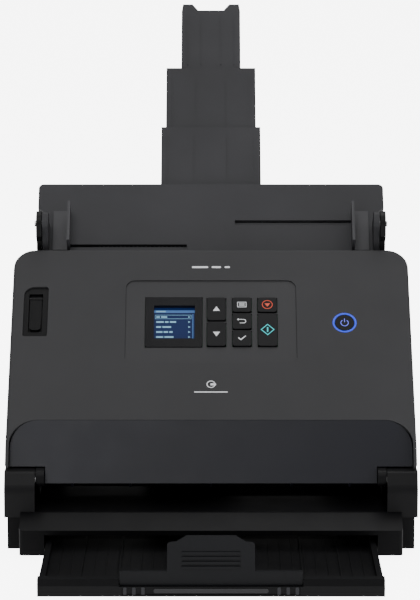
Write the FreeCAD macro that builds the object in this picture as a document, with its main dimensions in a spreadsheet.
import FreeCAD, Part
import math
import os
import re

from FreeCAD import Vector

# A compact sheet fed document scanner. Lengths are in millimetres and angles in degrees.
#
# Three frames keep the outlines simple. X always runs across the machine.
#   desk   Y = 0 at the front face of the side covers, +Y to the back, Z = 0 on the desk
#   path   origin at the top of the paper path, +Y up along the path, +Z out to the front
#   panel  origin at the bend of the front cover, +Y up along the cover, +Z straight out of it

SIZES = {
    # Whole machine
    "origin_y": 93.85,
    "half_width": 145.5,
    "wall": 2.4,
    "gap": 0.4,
    # The two tilted frames
    "path_tilt": 48.4,
    "path_y": 153.2,
    "path_z": 191.1,
    "panel_tilt": 43.5,
    "panel_y": 33.0,
    "panel_z": 88.0,
    # Casing
    "foot_high": 2.0,
    "base_high": 24.6,
    "base_half": 143.4,
    "cover_inside": 124.0,
    "body_top": 168.0,
    "body_rear": 222.0,
    "rear_round": 25.0,
    "sill_half": 134.0,
    "sill_deep": 20.0,
    "tunnel_half": 116.4,
    # Steel frames, shafts and rollers
    "frame_half": 120.0,
    "frame_thick": 1.6,
    "shaft_round": 2.5,
    "roller_round": 8.0,
    "pinch_round": 5.0,
    "retard_round": 6.0,
    "roller_clear": 0.15,
    "pickup_at": 77.0,
    "feed_at": 104.0,
    "transport_at": 126.0,
    "sensor_at": 146.0,
    "eject_at": 166.0,
    "pulley_round": 4.5,
    "belt_x": 127.0,
    "belt_wide": 5.0,
    "motor_at": 122.0,
    "motor_deep": 46.0,
    # Front unit
    "hinge_y": 9.0,
    "hinge_z": 50.0,
    "hinge_pin": 2.0,
    "bore_clear": 0.05,
    "panel_long": 152.0,
    "corner_round": 20.0,
    "shoulder_round": 17.0,
    "lip_y": 11.0,
    "lip_z": 47.0,
    # Control panel
    "inset_half": 62.3,
    "inset_low": 48.0,
    "inset_high": 124.0,
    "inset_round": 7.0,
    "inset_deep": 0.8,
    "key_gap": 0.45,
    "power_x": 97.2,
    "power_up": 85.4,
    "power_round": 8.7,
    # Feed tray
    "tray_surface": 4.0,
    "tray_deep": 14.5,
    "tray_low": 5.0,
    "tray_high": 61.5,
    "tray_hinge_up": 15.0,
    "tray_hinge_out": 12.7,
    "guide_wall": 105.0,
    "guide_high": 16.0,
    "guide_up": 16.0,
    "rack_teeth": 16.0,
    "stage_long": 64.0,
    "stage_travel": 57.0,
    # Eject tray
    "eject_half": 115.0,
    "eject_front": 134.0,
    "eject_rear": 10.0,
    "eject_rail": 12.0,
    "stop_y": 128.5,
    "stop_z": 12.6,
}

doc = FreeCAD.newDocument("document_scanner")
sheet = doc.addObject("Spreadsheet::Sheet", "Dims")
for row, (alias, number) in enumerate(SIZES.items(), start=1):
    sheet.set(f"A{row}", alias)
    sheet.set(f"B{row}", str(number))
    sheet.setAlias(f"B{row}", alias)
doc.recompute()

DESK = ("0", "-origin_y", "0", "0")
PATH = ("0", "path_y - origin_y", "path_z", "path_tilt")
PANEL = ("0", "panel_y - origin_y", "panel_z", "panel_tilt")

WORD = re.compile(r"[a-z_]{3,}")
finished = {}


# ---------------------------------------------------------------- helpers

def bound(text):
    """An expression in which every size is read from the sheet."""
    return WORD.sub(lambda word: "Dims." + word.group() if word.group() in SIZES else word.group(), str(text))


def size(name):
    """A driving dimension as a number."""
    return float(sheet.get(name))


def bind(item, target, text):
    """Ties one property of an object to an expression of the sheet's sizes."""
    item.setExpression(target, bound(text))


def fresh(kind, hint="Shape"):
    """A new document object."""
    return doc.addObject(kind, hint)


def block(across, along, up):
    """A box; each argument is a (low, high) pair of expressions."""
    item = fresh("Part::Box", "Block")
    for side, axis, (low, high) in (("Length", "x", across), ("Width", "y", along), ("Height", "z", up)):
        bind(item, side, f"({high}) - ({low})")
        bind(item, f"Placement.Base.{axis}", low)
    return item


def rod(radius, across, along, up):
    """A round bar parallel to X, with its centre line at (along, up)."""
    item = fresh("Part::Cylinder", "Rod")
    low, high = across
    bind(item, "Radius", radius)
    bind(item, "Height", f"({high}) - ({low})")
    item.Placement.Rotation = FreeCAD.Rotation(Vector(0, 1, 0), 90)
    for axis, text in (("x", low), ("y", along), ("z", up)):
        bind(item, f"Placement.Base.{axis}", text)
    return item


def post(radius, across, along, up):
    """A round bar parallel to Z; up is a (low, high) pair."""
    item = fresh("Part::Cylinder", "Post")
    low, high = up
    bind(item, "Radius", radius)
    bind(item, "Height", f"({high}) - ({low})")
    for axis, text in (("x", across), ("y", along), ("z", low)):
        bind(item, f"Placement.Base.{axis}", text)
    return item


def barrel(radius, across, along, up):
    """A round bar parallel to Y; along is a (low, high) pair."""
    item = fresh("Part::Cylinder", "Barrel")
    low, high = along
    bind(item, "Radius", radius)
    bind(item, "Height", f"({high}) - ({low})")
    item.Placement.Rotation = FreeCAD.Rotation(Vector(1, 0, 0), -90)
    for axis, text in (("x", across), ("y", low), ("z", up)):
        bind(item, f"Placement.Base.{axis}", text)
    return item


def plane_of(body, role):
    """One of the origin planes of a body."""
    for feature in body.Origin.OriginFeatures:
        if feature.Role == role:
            return feature
    raise ValueError(role)


def extruded(role, points, low, high, round_at=()):
    """A PartDesign body padded from a closed outline, from low to high along the plane's normal.

    round_at holds (corner number, radius) pairs: those corners become tangent arcs.
    """
    body = fresh("PartDesign::Body", "Body")
    sketch = body.newObject("Sketcher::SketchObject", "Outline")
    sketch.AttachmentSupport = (plane_of(body, role), [""])
    sketch.MapMode = "FlatFace"
    bind(sketch, "AttachmentOffset.Base.z", low)
    for edge in outline(points, dict(round_at)):
        sketch.addGeometry(edge, False)
    pad = body.newObject("PartDesign::Pad", "Pad")
    pad.Profile = sketch
    bind(pad, "Length", f"({high}) - ({low})")
    body.Tip = pad
    return body


def outline(points, radii):
    """Lines and tangent arcs through the given corners, as a closed loop."""
    corners = [Vector(across, up, 0) for across, up in points]
    count = len(corners)
    starts, ends, arcs = {}, {}, {}
    for index, corner in enumerate(corners):
        before = (corners[index - 1] - corner).normalize()
        after = (corners[(index + 1) % count] - corner).normalize()
        radius = radii.get(index, 0)
        reach = radius / math.tan(before.getAngle(after) / 2) if radius else 0
        starts[index] = corner + before * reach
        ends[index] = corner + after * reach
        if radius:
            middle = (before + after).normalize()
            centre = corner + middle * (radius / math.sin(before.getAngle(after) / 2))
            arcs[index] = Part.Arc(starts[index], centre - middle * radius, ends[index])
    edges = []
    for index in range(count):
        if index in arcs:
            edges.append(arcs[index])
        following = (index + 1) % count
        if (starts[following] - ends[index]).Length > 1e-6:
            edges.append(Part.LineSegment(ends[index], starts[following]))
    return edges


def side_shape(points, low, high, round_at=()):
    """A piece with a constant side view, drawn as (Y, Z) points, from X = low to X = high."""
    return extruded("YZ_Plane", points, low, high, round_at)


def plan_shape(points, low, high, round_at=()):
    """A piece with a constant plan, drawn as (X, Y) points, from Z = low to Z = high."""
    return extruded("XY_Plane", points, low, high, round_at)


def joined(*items):
    """One solid made of touching or overlapping shapes."""
    item = fresh("Part::MultiFuse", "Joined")
    item.Shapes = list(items)
    item.Refine = True
    return item


def group(*items):
    """Separate solids that belong to one node."""
    item = fresh("Part::Compound", "Group")
    item.Links = list(items)
    return item


def cut(base, *tools):
    """A shape with every tool taken out of it."""
    item = fresh("Part::Cut", "Cut")
    item.Base = base
    item.Tool = joined(*tools) if len(tools) > 1 else tools[0]
    item.Refine = True
    return item


def common(first, second):
    """What two shapes share."""
    item = fresh("Part::Common", "Common")
    item.Base = first
    item.Tool = second
    return item


def mirrored(item):
    """The same shape on the other side of the middle plane X = 0."""
    twin = fresh("Part::Mirroring", "Mirror")
    twin.Source = item
    twin.Normal = (1, 0, 0)
    return twin


def rounded(item, radius, wanted):
    """Fillets the edges whose middle point passes the wanted test."""
    doc.recompute()
    fillet = fresh("Part::Fillet", "Fillet")
    fillet.Base = item
    chosen = []
    for number, edge in enumerate(item.Shape.Edges, start=1):
        if wanted(edge):
            chosen.append((number, radius, radius))
    fillet.Edges = chosen
    return fillet


def finish(name, item, frame=DESK):
    """Names a sub-part and puts it in its frame."""
    if item.TypeId in ("Part::Box", "Part::Cylinder"):
        item = group(item)
    across, along, up, tilt = (bound(text) for text in frame)
    item.Label = name
    item.setExpression(
        "Placement",
        f"create(<<placement>>; create(<<vector>>; {across}; {along}; {up});"
        f" create(<<rotation>>; create(<<vector>>; 1; 0; 0); {tilt}))",
    )
    finished[name] = item
    return item


def path_point(up, out):
    """A point of the path frame as (Y, Z) of the desk frame."""
    tilt = math.radians(size("path_tilt"))
    return (
        size("path_y") + up * math.cos(tilt) - out * math.sin(tilt),
        size("path_z") + up * math.sin(tilt) + out * math.cos(tilt),
    )


def panel_point(up, out):
    """A point of the panel frame as (Y, Z) of the desk frame."""
    tilt = math.radians(size("panel_tilt"))
    return (
        size("panel_y") + up * math.cos(tilt) - out * math.sin(tilt),
        size("panel_z") + up * math.sin(tilt) + out * math.cos(tilt),
    )


def path_height(level, out):
    """The point of the line at a distance out from the path where it reaches a height on the desk."""
    tilt = math.radians(size("path_tilt"))
    up = (level - size("path_z") - out * math.cos(tilt)) / math.sin(tilt)
    return path_point(up, out)


# ---------------------------------------------------------------- base and casing

def base_chassis():
    """The floor of the machine, with a rear wall, side walls and short front walls."""
    outer = block(("-base_half", "base_half"), ("1.5", "body_rear - 2"), ("foot_high", "base_high"))
    hollow = block(
        ("-base_half + wall", "base_half - wall"),
        ("1.5 + wall", "body_rear - 2 - wall"),
        ("foot_high + wall", "base_high + 1"),
    )
    tray_way = block(("-tunnel_half - 2", "tunnel_half + 2"), ("0", "8"), ("foot_high + wall", "base_high + 1"))
    cable_way = block(("-112", "-52"), ("body_rear - 8", "body_rear"), ("14", "base_high + 1"))
    finish("base_chassis", cut(outer, hollow, tray_way, cable_way))


def rubber_feet():
    """Four round feet under the base."""
    feet = [
        post("9", across, along, ("0", "foot_high"))
        for across in ("-125", "125")
        for along in ("22", "198")
    ]
    finish("rubber_feet", group(*feet))


def front_sill():
    """The block over the mouth of the eject tray, with the shelf that receives the sheets."""
    deep = -size("sill_deep")
    roof = side_shape(
        [(deep, 17.2), (deep, 20.5), (-0.3, 29), (-0.3, 26), (-16, 19.5), (-16, 17.2)], "-sill_half", "sill_half",
    )
    shelf = side_shape([(-1, 25.8), (-1, 28.8), (0, 29), (46, 29.5), (46, 27), (1, 26.4)],
                       "-cover_inside + gap", "cover_inside - gap")
    cheek_side = [(deep, 2.6), (deep, 17.4), (-0.3, 17.4), (-0.3, 2.6)]
    cheeks = [
        side_shape(cheek_side, "tunnel_half", "sill_half"),
        side_shape(cheek_side, "-sill_half", "-tunnel_half"),
    ]
    ends = [
        side_shape([(deep, 17), (deep, 20.5), (-0.3, 29), (-0.3, 17)], low, high)
        for low, high in (("tunnel_half", "sill_half"), ("-sill_half", "-tunnel_half"))
    ]
    block_shape = rounded(
        joined(roof, shelf, *cheeks, *ends), 3.0,
        lambda edge: abs(abs(edge.CenterOfMass.x) - size("sill_half")) < 0.01
        and abs(edge.CenterOfMass.y + size("sill_deep")) < 0.01 and edge.BoundBox.ZLength > 2,
    )
    finish("front_sill", block_shape)


def side_cover_outline():
    """Side view of a side cover: it follows the paper path up to the flat top of the body."""
    low = path_height(56.5, -0.6)
    high = path_height(size("body_top"), -0.6)
    rear = size("body_rear")
    bottom = size("base_high") + 0.4
    top = size("body_top")
    return [
        (0, bottom), (0, 45), (6, 56.5), low, high, (rear, top), (rear, bottom),
    ]


def side_cover(name, side):
    """A deep side cover with the ear that carries the feed tray."""
    solid = side_shape(
        side_cover_outline(), "cover_inside", "half_width", [(1, 14), (2, 2), (4, 3), (5, size("rear_round"))]
    )
    doc.recompute()
    wall = size("wall")
    hollow = block(("cover_inside - 1", "half_width - wall"), ("8", "body_rear - wall"), ("base_high - 1", "45"))
    upper = side_shape(
        [(30, 44), path_height(54, -2), path_height(size("body_top") - wall, -2),
         (size("body_rear") - wall, size("body_top") - wall), (size("body_rear") - wall, 44)],
        "cover_inside - 1", "half_width - wall", [(3, size("rear_round") - wall)],
    )
    hinge = path_point(size("tray_hinge_up"), size("tray_hinge_out"))
    ear_side = [
        (hinge[0] - 9, hinge[1] + 9), (hinge[0] + 9, hinge[1] + 9),
        (hinge[0] + 22, size("body_top") - 2), (hinge[0] + 5, size("body_top") - 2), (hinge[0] - 1, hinge[1] - 13),
        (hinge[0] - 9, hinge[1] - 9),
    ]
    ear = side_shape(ear_side, "125.6", "129.6", [(0, 8.5), (1, 8.5), (5, 3)])
    pin_hole = rod("hinge_pin", ("125", "131"), hinge[0], hinge[1])
    low_hole = rod("hinge_pin", ("123", "136"), "hinge_y", "hinge_z")
    boss = rod("5", ("cover_inside", "135"), "hinge_y", "hinge_z")
    boss_zone = block(("cover_inside - 1", "136"), ("4.5", "15"), ("45", "55.5"))
    boss_fit = common(boss, boss_zone)
    cover = cut(joined(cut(solid, hollow, upper), ear, boss_fit), pin_hole, low_hole)
    finish(name, mirrored(cover) if side < 0 else cover)


def rear_cover():
    """The top and back of the body between the side covers."""
    rear = size("body_rear")
    top = size("body_top")
    wall = size("wall")
    bottom = size("base_high") + 0.4
    skin = side_shape(
        [(143, top), (rear, top), (rear, bottom), (rear - wall, bottom), (rear - wall, top - wall),
         (143, top - wall)],
        "-cover_inside + gap", "cover_inside - gap",
        [(1, size("rear_round")), (4, size("rear_round") - wall)],
    )
    socket_way = block(("-112", "-52"), ("body_rear - 5", "body_rear + 1"), ("base_high", "46"))
    vents = [
        block((f"{20 + 8 * slot}", f"{24 + 8 * slot}"), ("body_rear - 5", "body_rear + 1"), ("60", "100"))
        for slot in range(9)
    ]
    holes = [barrel("1.4", across, ("210", "230"), up) for across, up in SCREW_SPOTS]
    finish("rear_cover", cut(skin, socket_way, *vents, *holes))


SCREW_SPOTS = [(-110, 140), (110, 140), (-110, 55), (110, 55)]


def screw_ring(spots, along):
    """Pan head screws with their shanks along Y, in the back of the casing."""
    screws = []
    for across, up in spots:
        head = barrel("2.8", across, (along, f"{along} + 1.8"), up)
        shank = barrel("1.4", across, (f"{along} - 8", f"{along} + 0.2"), up)
        screws.append(joined(head, shank))
    return screws


# ---------------------------------------------------------------- paper path of the main unit

def hopper_plate():
    """The sloping bed below the feed tray, with three windows for the pickup tyres."""
    plate = block(("-122", "122"), ("-pickup_at - 9.6", "-tray_low - 0.8"),
                  ("-tray_surface - 2.5", "-tray_surface"))
    bed = block(("-122", "122"), ("-197", "-pickup_at - 11"), ("-3.2", "-1"))
    step = block(("-122", "122"), ("-pickup_at - 14", "-pickup_at - 11"), ("-tray_surface - 2.5", "-1"))
    ribs = [
        block((f"{across} - 1", f"{across} + 1"), ("-62", "-34"), ("-13", "-tray_surface - 2"))
        for across in (-100, -60, -20, 20, 60, 100)
    ]
    groove = rod("shaft_round + 0.5", ("-125", "125"), "-pickup_at", "-roller_round - roller_clear")
    finish("hopper_plate", cut(joined(plate, *ribs), roller_windows("pickup_at", (-45, 0, 45)), groove), PATH)
    guide = cut(joined(bed, step), roller_windows("pickup_at", (-45, 0, 45)), path_windows("-4", "-0.5"))
    finish("main_paper_guide", guide, PATH)


def roller_windows(station, places):
    """The openings that a row of tyres comes through."""
    return joined(*[
        block((f"{across} - 13", f"{across} + 13"), (f"-{station} - 10", f"-{station} + 10"), ("-20", "20"))
        for across in places
    ])


def path_windows(low, high):
    """The openings for feed, transport and eject rollers and for the image sensor."""
    rows = [
        block((f"{across} - 13", f"{across} + 13"), (f"-{station} - 9", f"-{station} + 9"), (low, high))
        for station, places in (
            ("feed_at", (-20, 20)), ("transport_at", (-70, 0, 70)), ("eject_at", (-70, 0, 70)))
        for across in places
    ]
    sensor = block(("-114", "114"), ("-sensor_at - 9.5", "-sensor_at + 9.5"), (low, high))
    return joined(*rows, sensor)


def side_frame(name, side):
    """A steel plate that carries the ends of the roller shafts."""
    plate = side_shape(
        [(-194, -3.6), (-194, -22), (-150, -64), (-90, -64), (-42, -24), (-42, -8)],
        "frame_half + 2.2", "frame_half + 2.2 + frame_thick", [(1, 6), (2, 12), (3, 12), (4, 8)],
    )
    holes = [
        rod("shaft_round + bore_clear", ("100", "140"), f"-{station}", "-roller_round - roller_clear")
        for station in ("pickup_at", "feed_at", "transport_at", "eject_at")
    ]
    nose_hole = rod("1.55", ("100", "140"), "-motor_at", "-motor_deep")
    frame = cut(plate, nose_hole, *holes)
    finish(name, mirrored(frame) if side < 0 else frame, PATH)


def drive_roller(name, station, places, wide):
    """A steel shaft with a pulley on its left end, and its rubber tyres."""
    along, up = f"-{station}", "-roller_round - roller_clear"
    shaft = rod("shaft_round", ("-132", "126"), along, up)
    pulley = rod("pulley_round", ("-belt_x - belt_wide / 2", "-belt_x + belt_wide / 2"), along, up)
    finish(f"{name}_shaft", joined(shaft, pulley), PATH)
    tyres = []
    for across in places:
        tyre = rod("roller_round", (f"{across} - {wide}", f"{across} + {wide}"), along, up)
        bore = rod("shaft_round", (f"{across} - 20", f"{across} + 20"), along, up)
        tyres.append(cut(tyre, bore))
    finish(f"{name}_tyres", group(*tyres), PATH)


def idler_roller(name, station, radius, places, wide):
    """A free roller of the front unit: one spindle with its tyres."""
    along, up = f"-{station}", f"{radius} + roller_clear"
    spindle = rod("1.5", ("-92", "92"), along, up)
    tyres = [
        rod(radius, (f"{across} - {wide}", f"{across} + {wide}"), along, up)
        for across in places
    ]
    finish(name, joined(spindle, *tyres), PATH)


def image_sensor(name, low, high):
    """A contact image sensor bar across the path."""
    finish(name, block(("-112", "112"), ("-sensor_at - 8", "-sensor_at + 8"), (low, high)), PATH)


def sensor_glass(name, low, high):
    """The glass strip over a sensor bar."""
    finish(name, block(("-112", "112"), ("-sensor_at - 8", "-sensor_at + 8"), (low, high)), PATH)


def drive_motor():
    """The motor behind the path, its shaft through the left frame, with the belt pulley."""
    along, up = "-motor_at", "-motor_deep"
    can = rod("15", ("-119", "-90"), along, up)
    nose = rod("6", ("-121.6", "-118"), along, up)
    finish("drive_motor", joined(can, nose), PATH)
    spindle = rod("1.5", ("-132", "-122"), along, up)
    wheel = rod("6", ("-belt_x - belt_wide / 2", "-belt_x + belt_wide / 2"), along, up)
    finish("motor_pulley", joined(spindle, wheel), PATH)


def belt_loop(grow):
    """The closed outline round the four roller pulleys and the motor pulley, in (Y, Z) of the path frame."""
    level = -size("roller_round") - size("roller_clear")
    near = size("pulley_round") + grow
    far = 6 + grow
    discs = [
        (-size("pickup_at"), level, near), (-size("motor_at"), -size("motor_deep"), far),
        (-size("eject_at"), level, near),
    ]
    points = []
    for index, (along, up, radius) in enumerate(discs):
        following = discs[(index + 1) % len(discs)]
        gap = math.hypot(following[0] - along, following[1] - up)
        angle = math.atan2(following[1] - up, following[0] - along)
        lean = angle + math.acos((radius - following[2]) / gap)
        points.append((Vector(along + radius * math.cos(lean), up + radius * math.sin(lean), 0),
                       Vector(following[0] + following[2] * math.cos(lean),
                              following[1] + following[2] * math.sin(lean), 0), lean))
    edges = []
    for index, (start, end, lean) in enumerate(points):
        edges.append(Part.LineSegment(start, end))
        along, up, radius = discs[(index + 1) % len(discs)]
        turn = (points[(index + 1) % len(points)][2] - lean + math.pi) % (2 * math.pi) - math.pi
        middle = lean + turn / 2
        centre = Vector(along + radius * math.cos(middle), up + radius * math.sin(middle), 0)
        edges.append(Part.Arc(end, centre, points[(index + 1) % len(points)][0]))
    return edges


def looped(grow, low, high):
    """A padded solid of the loop round the pulleys."""
    body = fresh("PartDesign::Body", "Loop")
    sketch = body.newObject("Sketcher::SketchObject", "Outline")
    sketch.AttachmentSupport = (plane_of(body, "YZ_Plane"), [""])
    sketch.MapMode = "FlatFace"
    bind(sketch, "AttachmentOffset.Base.z", low)
    for edge in belt_loop(grow):
        sketch.addGeometry(edge, False)
    pad = body.newObject("PartDesign::Pad", "Pad")
    pad.Profile = sketch
    bind(pad, "Length", f"({high}) - ({low})")
    body.Tip = pad
    return body


def drive_belt():
    """The flat belt round all five pulleys."""
    low, high = "-belt_x - belt_wide / 2 + 0.4", "-belt_x + belt_wide / 2 - 0.4"
    outside = looped(1.5, low, high)
    inside = looped(0.3, f"{low} - 1", f"{high} + 1")
    finish("drive_belt", cut(outside, inside), PATH)


def electronics():
    """The main board in the base, and the sockets at the back."""
    finish("main_board", block(("-115", "-20"), ("130", "212"), ("18", "19.6")))
    shell = block(("-106", "-84"), ("200", "body_rear + 0.4"), ("20", "38"))
    bore = barrel("3.25", "-95", ("body_rear - 8.6", "body_rear + 1.4"), "29")
    finish("power_inlet", cut(shell, bore))
    usb = cut(
        block(("-77.5", "-63"), ("204", "body_rear + 0.4"), ("22", "35.5")),
        block(("-76.2", "-64.3"), ("body_rear - 8.6", "body_rear + 1.4"), ("23.4", "34.1")),
        )
    finish("usb_socket", usb)


# ---------------------------------------------------------------- front unit

def front_outline():
    """Side view of the front unit, from the top edge round by the bend and back up the path."""
    return [
        panel_point(size("panel_long"), 0), panel_point(-23, 0), (8.5, 58),
        path_height(58, 0.6), path_point(-0.5, 0.6),
    ]


def front_cover():
    """The matt cover: a thin shell with side cheeks and a scoop for the dark fascia."""
    solid = rounded(
        side_shape(front_outline(), "-half_width", "half_width", [(0, 3.5), (1, 8), (2, 1.5)]), 2.2,
        lambda edge: abs(abs(edge.CenterOfMass.x) - size("half_width")) < 0.01
        and edge.Length > 8 and edge.CenterOfMass.y < path_point(0, 0)[0] - 8
        and is_outer(edge.CenterOfMass),
    )
    wall = size("wall")
    hollow = side_shape(
        [panel_point(size("panel_long") - 4, -wall), panel_point(-23, -wall), (8.5 + wall, 56),
         path_height(56, -3), path_point(-6, -3)],
        "-half_width + wall", "half_width - wall",
    )
    solid = common(solid, top_rounding(size("half_width") + 0.01, size("panel_long") + 0.01, size("shoulder_round")))
    hollow = common(hollow, top_rounding(size("half_width") - wall, size("panel_long") - wall,
                                         size("shoulder_round") - wall))
    scoop = tilted(plan_shape(
        [(-143, -60), (143, -60), (143, 0), (-143, 0)], "-30", "30",
        [(2, size("corner_round")), (3, size("corner_round"))]), PANEL_LOCAL)
    inset = tilted(plan_shape(
        [(-62.3, 48), (62.3, 48), (62.3, 124), (-62.3, 124)], "-9", "5",
        [(corner, size("inset_round")) for corner in range(4)]), PANEL_LOCAL)
    lever = tilted(plan_shape(
        [(-136.8, 73.3), (-119, 73.3), (-119, 118), (-136.8, 118)], "-9", "5",
        [(0, 1.5), (1, 1.5), (2, 2), (3, 8)]), PANEL_LOCAL)
    power = tilted(post("power_round + 0.05", "power_x", "power_up", ("-9", "5")), PANEL_LOCAL)
    finish("front_cover", cut(solid, hollow, scoop, inset, lever, power))


def top_rounding(half, top, radius):
    """A tall plate in the panel frame with rounded top corners, to trim the cover's shoulders."""
    return tilted(plan_shape([(-half, -80), (half, -80), (half, top), (-half, top)], "-90", "40",
                             [(2, radius), (3, radius)]), PANEL_LOCAL)


def is_outer(point):
    """True on the outer side of the front unit, away from the paper path."""
    tilt = math.radians(size("path_tilt"))
    out = -(point.y - size("path_y")) * math.sin(tilt) + (point.z - size("path_z")) * math.cos(tilt)
    return out > 2


PANEL_LOCAL = ("0", "panel_y", "panel_z", "panel_tilt")


def tilted(item, frame):
    """A shape drawn in the panel frame, as a tool of a shape drawn in the desk frame."""
    holder = group(item)
    across, along, up, tilt = (bound(text) for text in frame)
    holder.setExpression(
        "Placement",
        f"create(<<placement>>; create(<<vector>>; {across}; {along}; {up});"
        f" create(<<rotation>>; create(<<vector>>; 1; 0; 0); {tilt}))",
    )
    return holder


def lower_fascia():
    """The dark face below the bend, with its lip over the paper exit."""
    bend = panel_point(0, 0)
    lip = (size("lip_y"), size("lip_z"))
    skin = side_shape(
        [bend, lip, (lip[0] + 3, lip[1]), (bend[0] + 1.5, bend[1] - 2.2)], "-142.6", "142.6",
    )
    narrow = joined(
        block(("-142.7", "142.7"), ("-20", "60"), ("57.8", "120")),
        block(("-117.2", "117.2"), ("-20", "60"), ("40", "58")),
    )
    scoop = tilted(plan_shape(
        [(-142.6, -60), (142.6, -60), (142.6, -0.2), (-142.6, -0.2)], "-30", "30",
        [(2, size("corner_round") - 0.4), (3, size("corner_round") - 0.4)]), PANEL_LOCAL)
    ribs = [
        side_shape([lip, (lip[0] + 3, lip[1] - 3.5), (lip[0] + 8, lip[1] - 3.5), (lip[0] + 6, lip[1] + 4)],
                   f"{across} - 0.8", f"{across} + 0.8")
        for across in (-98, -57, 0, 57, 98)
    ]
    finish("lower_fascia", joined(common(common(skin, narrow), scoop), *ribs))


def front_inner_guide():
    """The front wall of the paper path, with the arms that hang the front unit on its hinge."""
    bed = block(("-118.4", "118.4"), ("-196", "-26"), ("1", "2.8"))
    guide = tilted(cut(bed, path_windows("0", "4"),
                       block(("-26", "26"), ("-pickup_at - 9", "-pickup_at + 9"), ("0", "4"))), PATH_LOCAL)
    arm_side = [(4.6, 45.6), (13.6, 45.6), (33.5, 58), (41, 67), (36, 70), (19.5, 56.9), (4.6, 56.9)]
    arm = side_shape(arm_side, "117.6", "cover_inside - gap", [(0, 4.2), (1, 3), (6, 5)])
    arm_cut = cut(arm, rod("hinge_pin + bore_clear", ("110", "130"), "hinge_y", "hinge_z"))
    finish("front_inner_guide", joined(guide, arm_cut, mirrored(arm_cut)))


PATH_LOCAL = ("0", "path_y", "path_z", "path_tilt")


def control_panel():
    """The sunk plate with the screen and the keys, and the board behind it."""
    high = size("inset_high") - 0.15
    low = size("inset_low") + 0.15
    half = size("inset_half") - 0.15
    plate = plan_shape(
        [(-half, low), (half, low), (half, high), (-half, high)], "-inset_deep - 1.6", "-inset_deep",
        [(corner, size("inset_round") - 0.15) for corner in range(4)],
    )
    holes = [
        block((f"{left} - key_gap", f"{right} + key_gap"), (f"{bottom} - key_gap", f"{top} + key_gap"), ("-8", "3"))
        for left, right, bottom, top in KEYS.values()
    ]
    window = block(("-48.1", "-6"), ("63.7", "109"), ("-8", "3"))
    finish("control_plate", cut(plate, window, *holes), PANEL)
    bezel = plan_shape([(-47.8, 64), (-6.3, 64), (-6.3, 108.7), (-47.8, 108.7)], "-5.6", "-0.3",
                       [(corner, 1.6) for corner in range(4)])
    glass_way = block(("-41.5", "-11.8"), ("71.5", "101.2"), ("-3.6", "1"))
    finish("screen_module", cut(bezel, glass_way), PANEL)
    finish("key_board", block(("-52", "54"), ("62", "111"), ("-7.2", "-6")), PANEL)


KEYS = {
    "key_up": (-2.8, 10.8, 87.4, 107.8),
    "key_down": (-2.8, 10.8, 64.5, 85.4),
    "key_menu": (15.7, 29.4, 95.0, 107.8),
    "key_back": (15.7, 29.4, 79.7, 93.3),
    "key_confirm": (15.7, 29.4, 64.5, 78.0),
    "key_stop": (34.2, 48.1, 95.0, 107.8),
    "key_start": (34.2, 48.1, 64.5, 93.3),
}


def keys():
    """The seven keys and the round power key with its light ring."""
    for name, (left, right, bottom, top) in KEYS.items():
        cap = plan_shape([(left, bottom), (right, bottom), (right, top), (left, top)], "-4.8", "0.5",
                         [(corner, 1.9) for corner in range(4)])
        finish(name, cap, PANEL)
    finish("power_key", post("7", "power_x", "power_up", ("-5", "0.2")), PANEL)
    ring = cut(post("power_round", "power_x", "power_up", ("-3.5", "0.1")),
               post("7.35", "power_x", "power_up", ("-5", "1")))
    finish("power_ring", ring, PANEL)


def open_lever():
    """The release lever in its recess, and the latch shaft that it turns."""
    tray = plan_shape([(-136.6, 73.5), (-119.2, 73.5), (-119.2, 117.8), (-136.6, 117.8)], "-7.2", "-1.2",
                      [(0, 1.3), (1, 1.3), (2, 1.8), (3, 7.8)])
    finger = block(("-133", "-123"), ("78", "112"), ("-6.4", "1"))
    finish("lever_bezel", cut(tray, finger), PANEL)
    arm = plan_shape([(-132.4, 78.6), (-123.6, 78.6), (-123.6, 111.2), (-132.4, 111.2)], "-4.4", "-2.9",
                     [(corner, 1) for corner in range(4)])
    tab = plan_shape([(-132, 78.8), (-124, 78.8), (-124, 86.5), (-132, 86.5)], "-4.4", "0.2",
                     [(0, 2.5), (1, 2.5), (2, 0.8), (3, 0.8)])
    finish("open_lever", joined(arm, tab, rod("1.2", ("-132.9", "-123.1"), "109", "-3.4")), PANEL)


# ---------------------------------------------------------------- feed tray

def feed_tray():
    """The folding feed tray: a face panel with side ears, and a back cover round the extension."""
    surface = "-tray_surface"
    wide = plan_shape(
        [(-125.1, -5), (125.1, -5), (125.1, 36), (130, 40), (130, 61.5), (-130, 61.5), (-130, 40), (-125.1, 36)],
        "-tray_surface - tray_deep", surface, [(4, 4), (5, 4)],
    )
    hollow = block(("-123", "123"), ("-tray_low + 1.6", "tray_high - 1.6"),
                   ("-tray_surface - tray_deep - 1", "-tray_surface - 2"))
    slots = [
        block((low, high), (f"guide_up + {track} - 2.2", f"guide_up + {track} + 2.2"), ("-9", "0"))
        for low, high, track in (("18", "111", 10.8), ("-111", "-18", -10.8))
    ]
    mouth = block(("-38.6", "38.6"), ("50", "70"), ("-17.5", "-9.2"))
    ear = side_shape(
        [(-4, -8), (24, -8), (24.5, 12), (20, 21.2), (9.5, 21.2), (5.5, 12)], "120.8", "125.1",
        [(3, 5), (4, 5), (2, 4)],
    )
    ear = cut(ear, rod("hinge_pin + bore_clear", ("110", "135"), "tray_hinge_up", "tray_hinge_out"))
    finish("feed_tray_panel", cut(joined(wide, ear, mirrored(ear)), hollow, mouth, *slots), PATH)
    back = block(("-122.6", "122.6"), ("-tray_low + 2", "tray_high - 2"),
                 ("-tray_surface - tray_deep", "-tray_surface - tray_deep + 1"))
    rails = [
        block((low, high), ("-tray_low + 2", "tray_high - 2"),
              ("-tray_surface - tray_deep", "-9.3"))
        for low, high in (("38.5", "40.5"), ("-40.5", "-38.5"))
    ]
    finish("feed_tray_back", joined(back, *rails), PATH)


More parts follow.
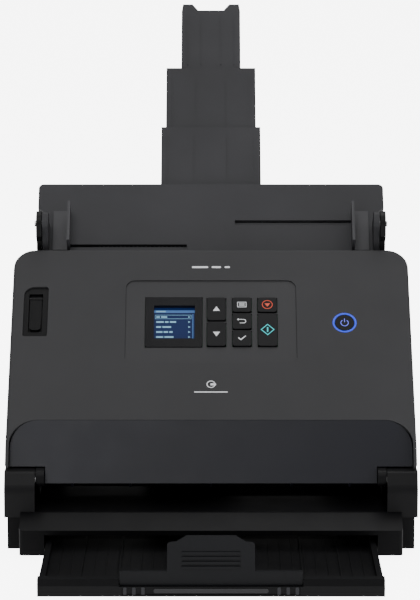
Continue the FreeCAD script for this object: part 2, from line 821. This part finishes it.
def page_guides():
    """The two side guides with their racks, and the pinion that couples them."""
    pitch = math.pi
    depth = ("-9", "-6.6")
    for name, side in (("guide_left", -1), ("guide_right", 1)):
        wall = block(("guide_wall", "guide_wall + 2"), ("1.5", "guide_up + 20"), ("-3.6", "guide_high - tray_surface"))
        flange = block(("guide_wall", "118"), ("1.5", "guide_up + 20"), ("-3.6", "-2.2"))
        track = f"guide_up + {side} * 10.8"
        stem = block(("106", "110"), (f"{track} - 1.6", f"{track} + 1.6"), ("-9", "-2.5"))
        rack = block(("-10", "110"), (f"{track} - 1.6", f"{track} + 1.6"), depth)
        inward = sorted((9.2 * side, 7.1 * side))
        teeth = [
            block((f"{(step + 0.5) * pitch} - 0.45", f"{(step + 0.5) * pitch} + 0.45"),
                  (f"guide_up + {inward[0]}", f"guide_up + {inward[1]}"), depth)
            for step in range(-3, 27)
        ]
        guide = joined(wall, flange, stem, rack, *teeth)
        finish(name, mirrored(guide) if side < 0 else guide, PATH)
    hub = post("6.7", "0", "guide_up", depth)
    cogs = []
    for number in range(int(size("rack_teeth") / 2)):
        bar = block(("-8.9", "8.9"), ("-0.45", "0.45"), depth)
        turned = group(bar)
        bind(turned, "Placement.Base.y", "guide_up")
        turned.Placement.Rotation = FreeCAD.Rotation(Vector(0, 0, 1), number * 360 / size("rack_teeth"))
        cogs.append(turned)
    finish("guide_pinion", joined(hub, *cogs), PATH)


def tray_stages():
    """Three telescoping stages, each drawn where it rests when fully pulled out."""
    widths = (37.9, 34.5, 23.0)
    depths = ((-17.2, -9.6), (-15.6, -11.2), (-14.0, -12.6))
    for index, (half, (low, high)) in enumerate(zip(widths, depths), start=1):
        start = f"-3 + {index} * stage_travel"
        end = f"-3 + stage_long + {index} * stage_travel"
        plate = block((-half, half), (start, end), (low, high))
        if index < 3:
            inner = widths[index] + 0.5
            bore = block((-inner, inner), (f"{start} - 1", f"{end} + 1"), (depths[index][0] - 0.4, depths[index][1] + 0.4))
            finish(f"tray_stage_{index}", cut(plate, bore), PATH)
        else:
            top = 61 + index * size("stage_travel")
            tip = plan_shape([(-23, top - 1), (23, top - 1), (22, top + 6), (14.5, top + 6), (10, top), (-10, top),
                              (-14.5, top + 6), (-22, top + 6)], low, high)
            finish(f"tray_stage_{index}", joined(plate, tip), PATH)


# ---------------------------------------------------------------- eject tray

def eject_tray():
    """The sliding eject tray: a thin floor, two rails and a deep front bar."""
    front, rear = "-eject_front", "eject_rear"
    floor = block(("-eject_half", "eject_half"), (front, rear), ("4.9", "7"))
    rails = [
        block((low, high), (front, rear), ("4.9", "eject_rail"))
        for low, high in (("eject_half - 4", "eject_half"), ("-eject_half", "-eject_half + 4"))
    ]
    bar = side_shape([(-134, 4.9), (-134, 12), (-132.6, 16.6), (-125, 16.6), (-123, 13), (-123, 4.9)],
                     "-eject_half", "eject_half")
    ribs = [
        block((f"{across} - 0.6", f"{across} + 0.6"), ("-eject_front + 12", rear), ("6.5", "8.6"))
        for across in (-88, -62, 62, 88)
    ]
    cradle = block(("-61", "61"), ("-132", "-122"), ("8", "20"))
    front_way = block(("-61", "61"), ("-135", "-131"), ("11.6", "20"))
    grip = block(("-59", "59"), ("-135", "-133"), ("6", "11.2"))
    plate = cut(joined(floor, *rails, bar, *ribs), cradle, front_way, grip)
    studs = [rod("1.4", (low, high), "-stop_y", "stop_z") for low, high in (("58.2", "61.2"), ("-61.2", "-58.2"))]
    finish("eject_tray", joined(plate, *studs))


def eject_stopper():
    """The flip up stopper: a wide bar, a ridged paddle and a finger tab."""
    back = -size("stop_y")
    bar = side_shape([(back - 2.6, 10.4), (back - 3, 21.4), (back + 0.6, 21.4), (back + 2.4, 15), (back + 2.4, 10.4)],
                     "-60.5", "60.5")
    leaning = side_shape(
        [(back - 2.9, 18), (back - 3.9, 45.8), (back - 1.4, 45.8), (back + 0.4, 18)], "-30", "30")
    face = extruded(
        "XZ_Plane",
        [(-29, 17), (29, 17), (29, 41), (23, 41.6), (16.5, 45.7), (-16.5, 45.7), (-23, 41.6), (-29, 41)],
        "stop_y - 10", "stop_y + 10", [(2, 2), (3, 3), (4, 2), (5, 2), (6, 3), (7, 2)],
    )
    paddle = common(leaning, face)
    ridges = [
        block(("-19.3", "19.3"), ("-stop_y - 4.2", "-stop_y - 2.6"), (f"{23.5 + 3.3 * step}", f"{25.1 + 3.3 * step}"))
        for step in range(4)
    ]
    bores = [
        rod("1.4 + bore_clear", (low, high), "-stop_y", "stop_z")
        for low, high in (("58", "61"), ("-61", "-58"))
    ]
    finish("eject_stopper", cut(joined(bar, paddle, *ridges), *bores))


def fasteners():
    """The hinge pins of the front unit and the feed tray, and the casing screws."""
    up, out = path_point(size("tray_hinge_up"), size("tray_hinge_out"))
    pins = []
    for side in (1, -1):
        for (low, high), (along, level) in (((118.5, 134), (size("hinge_y"), size("hinge_z"))),
                                             ((121, 131), (up, out))):
            ends = (str(low), str(high)) if side > 0 else (str(-high), str(-low))
            pins.append(rod("hinge_pin", ends, along, level))
    finish("hinge_pins", group(*pins))
    finish("case_screws", group(*screw_ring(SCREW_SPOTS, "body_rear")))


base_chassis()
rubber_feet()
front_sill()
side_cover("side_cover_left", -1)
side_cover("side_cover_right", 1)
rear_cover()
hopper_plate()
side_frame("side_frame_left", -1)
side_frame("side_frame_right", 1)
drive_roller("pickup", "pickup_at", (-45, 0, 45), 11)
drive_roller("feed", "feed_at", (-20, 20), 11)
drive_roller("transport", "transport_at", (-70, 0, 70), 11)
drive_roller("eject", "eject_at", (-70, 0, 70), 11)
idler_roller("retard_roller", "feed_at", "retard_round", (-20, 20), 11)
idler_roller("transport_pinch", "transport_at", "pinch_round", (-70, 0, 70), 11)
idler_roller("eject_pinch", "eject_at", "pinch_round", (-70, 0, 70), 11)
image_sensor("rear_image_sensor", "-15", "-2.6")
sensor_glass("rear_sensor_glass", "-2.6", "-0.8")
image_sensor("front_image_sensor", "2.6", "14")
sensor_glass("front_sensor_glass", "0.8", "2.6")
drive_motor()
drive_belt()
electronics()
front_cover()
lower_fascia()
front_inner_guide()
control_panel()
keys()
open_lever()
feed_tray()
page_guides()
tray_stages()
eject_tray()
eject_stopper()
fasteners()
doc.recompute()

for item in doc.Objects:
    if "Invalid" in item.State or "Error" in item.State:
        raise RuntimeError(f"{item.Name} {item.Label}: {item.State}")

os.makedirs("parts", exist_ok=True)
for name, item in finished.items():
    if item.Shape.isNull() or not item.Shape.isValid():
        raise RuntimeError(f"{name} has no valid shape")
    item.Shape.exportStep(f"parts/{name}.step")
print(len(finished), "sub-parts")
